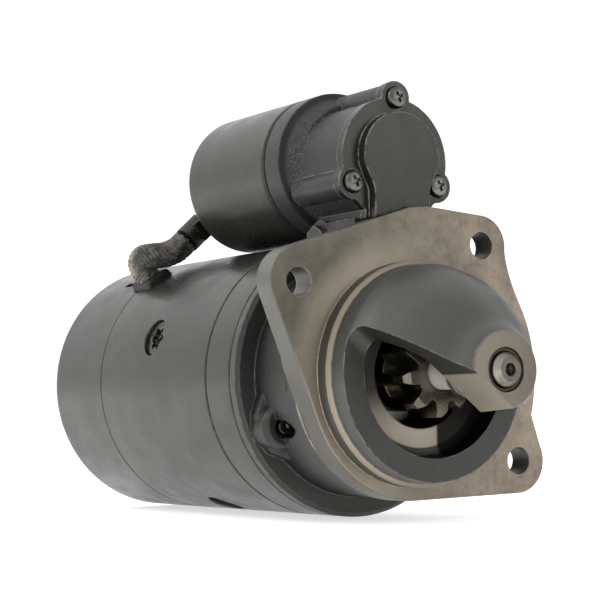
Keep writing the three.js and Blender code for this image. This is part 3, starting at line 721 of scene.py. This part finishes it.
def bolt_ear(angle):
    """The cast ear on the neck that takes a through bolt, with a raised rim round the bolt's end."""
    front_x = -33.5
    corners = ((NECK_R - 3, -27), (53.6, -9), (54.6, 0), (53.6, 9), (NECK_R - 3, 27))
    outline = [*(polar(radius, angle + aside) for radius, aside in corners), (0, 0)]
    ear = prism_x(rounded(outline, [0, 5, 6, 5, 0, 0], 6), -45, front_x)
    rim = spindle([(-44, 9.6), (-31.2, 9.2), (-28.6, 7.8)], 48, *polar(THROUGH_BOLT_R - 0.5, angle), soft=1.2)
    return join(soften_ends(ear, 2.2, (front_x,), 4), rim)


def neck():
    """The round part behind the flange, flaring into it in front and into the barrel's rim behind."""
    shape = spindle([
        (HOUSING_REAR_X + GAP, BARREL_R - 0.8), (HOUSING_REAR_X + 1, BARREL_R), (-41, BARREL_R),
        (-39.6, BARREL_R - 1.6), (-39.2, NECK_R + 0.4), (-38, NECK_R), (-17, NECK_R), (-14, NECK_R + 0.9),
        (-12, NECK_R + 2.6), (-10.8, NECK_R + 5.5), (-4, NECK_R + 5.5), (-4, 40),
    ], 144)
    room = join(prism_x(flange_outline(), -30, 1), rod(-60, -10.9, NECK_R, 144), rod(-60, -30.5, 60, 96))
    return within(shape, room)


def pilot():
    """The turned register in front of the flange, with a lead-in chamfer, and the rim of the nose."""
    return spindle([
        (-3, PILOT_R), (5.8, PILOT_R), (6.6, PILOT_R - 0.8), (7.2, NOSE_R + 0.3),
        (RIM_X - 0.8, NOSE_R), (RIM_X, NOSE_R - 0.8),
    ], 144)


def solenoid_ring():
    """The ring that the solenoid's can sits against, sloping down to the tower."""
    profile = [(-59.4, 16), (-36.7, 16), (-38.7, 24), (-47.7, 27.5), (-48.7, SOLENOID_R), (-59.4, SOLENOID_R)]
    return turned(rounded(profile, [0, 0, 2, 2, 0.5, 0.5]), 128, 0, SOLENOID_Z)


def drive_end_housing():
    """The whole casting: its solid parts joined, then everything hollow cut out of it."""
    tower = tower_section(-45, TOWER_FRONT_X)
    flange = soften_ends(prism_x(flange_outline(), -FLANGE_T, 0), 0.7, (-FLANGE_T, 0))
    ledge = block(-41, TOWER_FRONT_X, -17.3, 17.3, 58.6, 62.6)
    lug = cross_bar(-17.6, 17.6, 7.4, LEVER_X, LEVER_Z + 0.6)
    ears = [bolt_ear(angle) for angle in THROUGH_BOLT_ANGLES]
    body = join(neck(), flange, pilot(), hood(), tower, solenoid_ring(), ledge, lug, *ears)
    x = POCKET_FLOOR_X
    body = cut(
        body,
        *[spindle([(-36, 4.3), (-30, 4.6), (-22, 4.2), (-15, 1)], 48, y, z) for y, z in THROUGH_BOLTS],
        spindle([(-50, 44), (-15, 44), (-5, 30), (-4, 25.5), (1.4, 25.5)], 96),
        rod(-3, x + 1, PORT_R, 96),
        spindle([(x, 29), (x + 1.2, 31.8), (x + 4, POCKET_R), (RIM_X + 1, POCKET_R)], 128),
        rod(30, BOSS_X + 1, BUSH_R + 2 * GAP, 64),
        block(-46, -20, -9.7, 9.7, 30, 100),
        rod(-70, 0, 16, 64, 0, SOLENOID_Z),
        cross_bar(-30, 30, 4.3, LEVER_X, LEVER_Z),
        cross_bar(-30, -17.6, 6.4, LEVER_X, LEVER_Z),
        *holes(-20, 10, BOLT_HOLE_R, MOUNTING_BOLTS, 64),
        *holes(-70, 0, COVER_HOLE_R, COVER_SCREWS),
    )
    body = join(body, *[rod(HOUSING_REAR_X + GAP, -30, 7, 32, y, z) for y, z in THROUGH_BOLTS])
    return cut(body, *holes(-50, -20, THROUGH_HOLE_R, THROUGH_BOLTS))


# ---- Lever cover and its screws ----
def lever_cover():
    """The cover on the front of the tower, with a raised pad and a seat for each screw."""
    top = arc(0.6, 87, 18.2, -12, 192, 40)
    pad = rounded([(-13, 60), (13.6, 60), (13.6, 74), *top, (-13, 74)], [0, 0, 6, *[0] * len(top), 6])
    raised = soften_ends(prism_x(pad, TOWER_FRONT_X + 1, PAD_FRONT_X), 0.5, (PAD_FRONT_X,), 2)
    plate = join(tower_section(TOWER_FRONT_X + 2 * GAP, COVER_FRONT_X, 0.6), raised)
    seats = holes(COVER_FRONT_X - 1.4, 0, 4.8, COVER_SCREWS, 48)
    room_for_flange = prism_x(flange_outline(2 * GAP), -40, 10)
    return cut(plate, room_for_flange, *holes(-20, 0, COVER_HOLE_R, COVER_SCREWS), *seats)


def cover_screw(y, z):
    """A pan head with a cross recess on a plain shank."""
    x = COVER_FRONT_X
    shank_r = 2.4
    head = spindle([
        (-65, shank_r), (x - 1.1, shank_r), (x - 1.1, 4.4), (x + 0.9, 4.4), (x + 1.9, 3.8), (x + 2.35, 2.6),
        (x + 2.45, 1),
    ], 48, y, z)
    corners = [(-2.3, -0.65), (2.3, -0.65), (2.3, 0.65), (-2.3, 0.65)]
    for tilt in (23, 113):
        slot = turn(prism_x(rounded(corners, 0.3, 2), x + 0.9, x + 4), tilt)
        slot.data.transform(Matrix.Translation((0, y, z)))
        head = cut(head, slot)
    return head


# ---- Barrel ----
def grommet_block(grow, low, high, soft=0):
    """The block that the lead goes in through, from one radius to another."""
    side = GROMMET_HALF_WIDTH + grow
    corners = [(low, -side), (high, -side), (high, side), (low, side)]
    outline = rounded(corners, [0, soft, soft, 0])
    return turn(prism_x(outline, GROMMET_X[0] - grow, GROMMET_X[1] + grow), GROMMET_ANGLE)


def along_radius(profile):
    """A solid turned about the Y axis at the middle of the poles, from (radius, y) points."""
    made = turned([(y, r) for r, y in profile], 64)
    made.data.transform(Matrix.Translation((POLE_MIDDLE_X, 0, 0)) @ Matrix.Rotation(math.pi / 2, 4, "Z"))
    return made


def pole_screw():
    """A countersunk screw with a six-lobed recess."""
    screw = along_radius([(0, 39), (4, 39), (4, 50), (8, 54.2), (8, 55.2), (7.4, 55.8), (0, 55.8)])
    lobes, steps = 6, 48
    around = [360 * k / steps for k in range(steps)]
    star = [polar(4.7 + 0.9 * math.cos(math.radians(lobes * angle)), angle) for angle in around]
    return cut(screw, prism_y([(POLE_MIDDLE_X + a, b) for a, b in star], 53, 60))


def pole_seat(number):
    """The countersunk seat in the yoke for a pole screw."""
    profile = [(0, 39), (4.4, 39), (4.4, 49.8), (8.2, 54.2), (8.4, 57), (9, 57.7), (9, 60), (0, 60)]
    return turn(along_radius(profile), POLE_ANGLE + 360 / POLES * number)


def yoke():
    """The rolled barrel, with a seat for each pole screw and an opening for the lead's block."""
    shell = turned([
        (YOKE_REAR_X + GAP, BARREL_INNER_R), (YOKE_FRONT_X - GAP, BARREL_INNER_R),
        (YOKE_FRONT_X - GAP, BARREL_R - 1.8), (YOKE_FRONT_X - 0.6, BARREL_R - 1.7),
        (YOKE_FRONT_X - 0.7, BARREL_R - 0.4), (YOKE_FRONT_X - 1.2, BARREL_R),
        (YOKE_REAR_X + 0.6, BARREL_R), (YOKE_REAR_X + GAP, BARREL_R - 0.4),
    ], 192)
    return cut(shell, grommet_block(2 * GAP, 40, 70), *[pole_seat(number) for number in range(POLES)])


def rear_cover():
    """The end cover with its raised cap, a slit beside the lead's block and the through bolts' holes."""
    outer = [(REAR_X, 14), (REAR_X, 51), (REAR_X + 0.5, 53.4), (-214.2, 55.6), (-212.2, 57), (-210, BARREL_R)]
    shell = turned([
        (-218, 0), (-218, 12.4), (-217.4, 13.4), (-216.6, 14), *smooth_line(outer, 4),
        (YOKE_REAR_X - 0.6, BARREL_R), (YOKE_REAR_X - GAP, BARREL_R - 0.4), (YOKE_REAR_X - GAP, 53),
        (-211, 53), (-211, 14), (-200, 14), (-200, 9.3), (-213, 9.3), (-213, 0),
    ], 192)
    slit = turn(block(-184, YOKE_REAR_X + 1, 50, 60, -1.6, 1.6), GROMMET_ANGLE)
    return cut(shell, grommet_block(2 * GAP, 40, 70), slit, *holes(-220, -200, THROUGH_HOLE_R, THROUGH_BOLTS))


def centre_plate():
    """The ring between housing and yoke, with the seat of the shaft's middle bearing inside it."""
    front, rear = HOUSING_REAR_X - GAP, YOKE_FRONT_X + GAP
    plate = turned([
        (rear, 13.3), (-57.2, 13.3), (-57.2, 20), (-58.4, 24), (-58.4, BARREL_INNER_R),
        (front, BARREL_INNER_R), (front, BARREL_R - 0.6), (-45.8, BARREL_R - 0.15), (-46.3, BARREL_R),
        (YOKE_FRONT_X + 0.9, BARREL_R), (YOKE_FRONT_X + 0.4, BARREL_R - 0.15), (rear, BARREL_R - 0.6),
    ], 192)
    return cut(plate, *holes(-70, -50, THROUGH_HOLE_R, THROUGH_BOLTS))


# ---- Solenoid ----
def solenoid_case():
    """The can: open behind, with a hole for the plunger and the cover's screws in front."""
    front, rear = SOLENOID_FRONT_X, SOLENOID_REAR_X
    case = turned([
        (rear, SOLENOID_INNER_R), (-66, SOLENOID_INNER_R), (-66, 10.7), (front, 10.7),
        (front, SOLENOID_R - 1), (-62.3, SOLENOID_R - 0.3), (-63, SOLENOID_R), (-124.4, SOLENOID_R),
        (-126, SOLENOID_R - 0.3), (-127.2, SOLENOID_R - 1), (rear, SOLENOID_R - 2),
    ], 160, 0, SOLENOID_Z)
    return cut(case, *holes(-70, -50, COVER_HOLE_R, COVER_SCREWS))


# ---- Drive and shaft ----
def pinion():
    """A spur pinion whose teeth are chamfered at the front, on a smooth hub."""
    pitch = 360 / PINION_TEETH
    flank = [
        (PINION_ROOT_R, -15), (12.3, -12.6), (13.4, -11.3), (14.6, -9.9), (15.8, -7.9), (16.8, -5.6),
        (PINION_TIP_R, -4.2),
    ]
    tooth = flank + [(radius, -angle) for radius, angle in reversed(flank)]
    starts = [(number + 0.7) * pitch for number in range(PINION_TEETH)]
    outline = [polar(radius, angle + start) for start in starts for radius, angle in tooth]
    low, high = PINION_X
    clear_r = PINION_TIP_R + 1
    chamfered = [(low - 1, clear_r), (high - 3.3, clear_r), (high + 0.3, PINION_TIP_R - 2.6)]
    gear = within(prism_x(outline, low, high), spindle(chamfered, 96))
    gear = join(gear, rod(-15.4, low + 0.6, 14.6, 64, soft=0.5))
    bore_r, nose_bore_r = SHAFT_R + 0.4, NOSE_SHAFT_R + 2 * GAP
    bore = [(-20, bore_r), (15.6, bore_r), (16.4, nose_bore_r), (18.9, nose_bore_r), (25, NOSE_SHAFT_R + 5)]
    return cut(gear, spindle(bore, 64))


def shaft():
    """The shaft, stepped down for the drive and the nose, its front end chamfered round a centre hole."""
    end = SHAFT_END_X
    return spindle([
        (-212, 5.4), (-211.4, 6), (-199, 6), (-199, CORE_SHAFT_R), (-56, CORE_SHAFT_R), (-56, SHAFT_R),
        (14.4, SHAFT_R), (15, SHAFT_R - 0.6), (15, NOSE_SHAFT_R), (end - 3, NOSE_SHAFT_R), (end - 2.4, 6.3),
        (end - 0.3, 4.75), (end, 4.4), (end, 2.8), (end - 0.3, 2.4), (end - 1.8, 2.1), (end - 3.4, 0.5),
    ], 64)


def nose_bushing():
    """The plain bearing in the boss, round the shaft's front end."""
    low, high, inner = BOSS_BACK_X + 1, BOSS_X - 0.6, NOSE_SHAFT_R + 2 * GAP
    corners = [(low, inner), (high, inner), (high, BUSH_R), (low, BUSH_R)]
    return turned(rounded(corners, 0.2, 2), 64)


# ---- Field lead ----
LEAD_ROUTE = [
    (-146.1, -22.4, 64.2), (-146.6, -26.6, 60.8), (-148.6, -31.4, 58.8), (-151.4, -35.8, 58.4),
    (-154.6, -38.8, 57.8), (-157, -39.2, 55.4), (-158, -37, 51.9), (-158, -33.3, 47.5),
]


def carried(points):
    """Each point of a path with two directions square to the path there, carried along without twist."""
    side = Vector((0.3, 0.2, 1))
    made = []
    for i, point in enumerate(points):
        ahead = Vector(points[min(i + 1, len(points) - 1)])
        along = (ahead - Vector(points[max(i - 1, 0)])).normalized()
        side = (side - along * side.dot(along)).normalized()
        made.append((Vector(point), side, along.cross(side)))
    return made


def strand(points, radius, sides=8):
    """The vertices and faces of a closed round tube along a list of points."""
    rings, vertices, faces = [], [], []
    corners = [polar(radius, 360 * k / sides) for k in range(sides)]
    for point, side, other in carried(points):
        rings.append(range(len(vertices), len(vertices) + sides))
        vertices += [tuple(point + a * side + b * other) for a, b in corners]
    for first, second in zip(rings, rings[1:]):
        pairs = [(k, (k + 1) % sides) for k in range(sides)]
        faces += [(first[k], first[n], second[n], second[k]) for k, n in pairs]
    faces += [tuple(rings[0]), tuple(rings[-1])]
    return vertices, faces


def field_lead():
    """Twisted bundles of wire laid round a core."""
    bundles, core_r, bundle_r, lay_r, turn_per_step = 11, 4.5, 1.4, 4.6, 12.6
    path = smooth_line(LEAD_ROUTE, 8)
    lines = [(path, core_r)]
    for bundle in range(bundles):
        line = []
        for step, (point, side, other) in enumerate(carried(path)):
            a, b = polar(lay_r, 360 * bundle / bundles + turn_per_step * step)
            line.append(tuple(point + a * side + b * other))
        lines.append((line, bundle_r))
    all_vertices, all_faces = [], []
    for line, radius in lines:
        vertices, faces = strand(line, radius)
        start = len(all_vertices)
        all_vertices += vertices
        all_faces += [tuple(start + v for v in face) for face in faces]
    return solid(all_vertices, all_faces)


# ---- Springs and armature ----
def coil(ends, radius, wire_r, turns, z=0):
    """A coil spring along X between two ends."""
    steps = 32 * turns
    first, length = ends[0] + wire_r, ends[1] - ends[0] - 2 * wire_r
    around = [polar(radius, 360 * turns * i / steps) for i in range(steps + 1)]
    points = [(first + length * i / steps, y, z + up) for i, (y, up) in enumerate(around)]
    return solid(*strand(points, wire_r, 10))


def slotted(x0, x1, outer, slots, width, depth):
    """A ring round the shaft with narrow slots cut in along its length, all the way round."""
    half = math.degrees(width / 2 / outer)
    pitch = 360 / slots
    outline = []
    for start in (pitch * k for k in range(slots)):
        outline += [polar(outer - depth, start - half), polar(outer - depth, start + half)]
        outline += arc(0, 0, outer, start + half, start + pitch - half, 5)
    return cut(prism_x(outline, x0, x1), rod(x0 - 1, x1 + 1, CORE_SHAFT_R + 2 * GAP, 64))


def commutator():
    """The commutator's bars, with their risers on the side of the core."""
    return join(slotted(-195, -171.8, 20, 29, 0.7, 0.9), slotted(-172, -168, 22.6, 29, 0.9, 3))


# ---- The pieces: name, solid, body, material slot, finish, CAD nodes replaced ----
show("housing_casting", drive_end_housing(), "housing", "paint", "housing", "drive_end_housing")
show("lever_cover_casting", lever_cover(), "housing", "paint", "cast", "lever_cover")
for number, (y, z) in enumerate(COVER_SCREWS, 1):
    show(f"cover_screw_head_{number}", cover_screw(y, z), "housing", "zinc", "zinc", f"cover_screw_{number}")
show("yoke_shell", yoke(), "housing", "paint", "paint", "yoke")
show("rear_cover_shell", rear_cover(), "housing", "paint", "paint", "rear_cover")
show("centre_plate_casting", centre_plate(), "housing", "paint", "paint", "centre_plate")
for number in range(POLES):
    screw = turn(pole_screw(), POLE_ANGLE + 360 / POLES * number)
    show(f"pole_screw_head_{number + 1}", screw, "housing", "steel", "cast", f"pole_screw_{number + 1}")
show("solenoid_shell", solenoid_case(), "housing", "paint", "paint", "solenoid_case")
show("nose_bushing_ring", nose_bushing(), "housing", "bronze", "bronze", "nose_bushing")
show("pinion_gear", pinion(), "pinion", "oily", "oily", "pinion")
show("armature_spindle", shaft(), "armature", "steel", "spindle", "armature_shaft")
show("field_lead_braid", field_lead(), "housing", "sheath", "sheath", "field_lead")
grommet = soften_ends(grommet_block(0, 51.5, 60.8, 3.2), 1.6, GROMMET_X, 4)
show("lead_grommet_block", grommet, "housing", "rubber", "rubber", "lead_grommet")
spring = coil(RETURN_SPRING_X, 5.6, 1, 6, SOLENOID_Z)
return_spring = show("return_spring_coil", spring, "plunger", "steel", "steel", "return_spring")
show("meshing_spring_coil", coil((-37.2, -30.4), 15.4, 1.3, 2), "drive", "steel", "steel", "meshing_spring")
core = slotted(-150, -82, 35.3, 25, 3.2, 12)
show("armature_stack", core, "armature", "lamination", "lamination", "armature_core")
show("commutator_bars", commutator(), "armature", "copper", "copper", "commutator")

# Nodes that look unlike the material slot they have in the record.
UNLIKE_SLOT = {
    "lever_pin": "cast", "cable_lug": "sooty", "motor_nut": "worn",
    "through_bolt_1": "worn", "through_bolt_2": "worn",
}


def dress_cad_nodes():
    """Gives the pieces that keep their CAD solids a material and smooth faces with sharp edges."""
    slots = {entry["node"]: entry["material_slot"] for entry in frame["record"]["subparts"]}
    for name, node in frame["nodes"].items():
        if node.hide_render:
            continue
        node.data.materials.clear()
        node.data.materials.append(FINISH[UNLIKE_SLOT.get(name, slots[name])].material)
        for face in node.data.polygons:
            face.use_smooth = True
        weld = node.modifiers.new("weld", "WELD")
        weld.merge_threshold = 2e-6
        split = node.modifiers.new("edges", "EDGE_SPLIT")
        split.split_angle = SHARP_ANGLE


# ---- Floor, light and camera ----
def stage_floor():
    work = bmesh.new()
    bmesh.ops.create_circle(work, cap_ends=True, radius=6, segments=64)
    mesh = bpy.data.meshes.new("floor")
    work.to_mesh(mesh)
    work.free()
    floor = bpy.data.objects.new("floor", mesh)
    floor.location = (0, 0, -(BARREL_R + FLOOR_GAP) * MM)
    bpy.context.scene.collection.objects.link(floor)
    material = bpy.data.materials.new("floor_white")
    material.use_nodes = True
    surface = material.node_tree.nodes["Principled BSDF"]
    surface.inputs["Base Color"].default_value = (0.9, 0.9, 0.9, 1)
    surface.inputs["Roughness"].default_value = 0.9
    surface.inputs["Emission Color"].default_value = (1, 1, 1, 1)
    surface.inputs["Emission Strength"].default_value = 0.6
    mesh.materials.append(material)


def area_light(name, place, aim, size, power):
    """A soft rectangular light, with its places and size in metres."""
    data = bpy.data.lights.new(name, "AREA")
    data.shape = "RECTANGLE"
    data.size, data.size_y = size
    data.energy = power
    light = bpy.data.objects.new(name, data)
    light.location = place
    light.visible_camera = False
    light.rotation_euler = (Vector(aim) - Vector(place)).to_track_quat("-Z", "Y").to_euler()
    bpy.context.scene.collection.objects.link(light)


def studio_light():
    """A white room, a little darker on the side that the nose points to."""
    world = bpy.data.worlds.new("studio")
    world.use_nodes = True
    tree = world.node_tree
    add, link = tree.nodes.new, tree.links.new
    sky = tree.nodes["Background"]
    sky.inputs["Color"].default_value = (1, 1, 1, 1)
    towards_nose = add("ShaderNodeVectorMath")
    towards_nose.operation = "DOT_PRODUCT"
    towards_nose.inputs[1].default_value = (0.85, 0.53, 0)
    link(add("ShaderNodeTexCoord").outputs["Generated"], towards_nose.inputs[0])
    level = add("ShaderNodeMapRange")
    for name, value in (("From Min", -0.3), ("From Max", 0.9), ("To Min", 1.2), ("To Max", 0.6)):
        level.inputs[name].default_value = value
    link(towards_nose.outputs["Value"], level.inputs["Value"])
    link(level.outputs[0], sky.inputs["Strength"])
    bpy.context.scene.world = world


def camera():
    """The photograph's view: from in front of the nose, a little below the shaft."""
    azimuth, elevation, roll = (math.radians(a) for a in (58.0, -3.5, -1.2))
    target = Vector((-70.6, -7.5, 33.6)) * MM
    distance = 767.2 * MM
    level = math.cos(elevation)
    back = Vector((math.sin(azimuth) * level, -math.cos(azimuth) * level, math.sin(elevation)))
    right = Vector((math.cos(azimuth), math.sin(azimuth), 0))
    up = back.cross(right)
    x = math.cos(roll) * right + math.sin(roll) * up
    y = -math.sin(roll) * right + math.cos(roll) * up
    data = bpy.data.cameras.new("photo_view")
    data.lens = 108
    data.sensor_width = 36
    data.clip_start = 0.01
    view = bpy.data.objects.new("photo_view", data)
    place = target + back * distance
    view.matrix_world = Matrix.Translation(place) @ Matrix((x, y, back)).transposed().to_4x4()
    bpy.context.scene.collection.objects.link(view)
    bpy.context.scene.camera = view


dress_cad_nodes()
stage_floor()
studio_light()
area_light("key", (-0.9, -1.2, 1.2), (-0.07, 0, 0.03), (1.0, 0.8), 9)
area_light("fill", (1.5, 0.9, 0.7), (0, 0, 0), (0.9, 0.9), 6)
camera()
bpy.context.scene.view_settings.view_transform = "Standard"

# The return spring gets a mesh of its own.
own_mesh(return_spring)
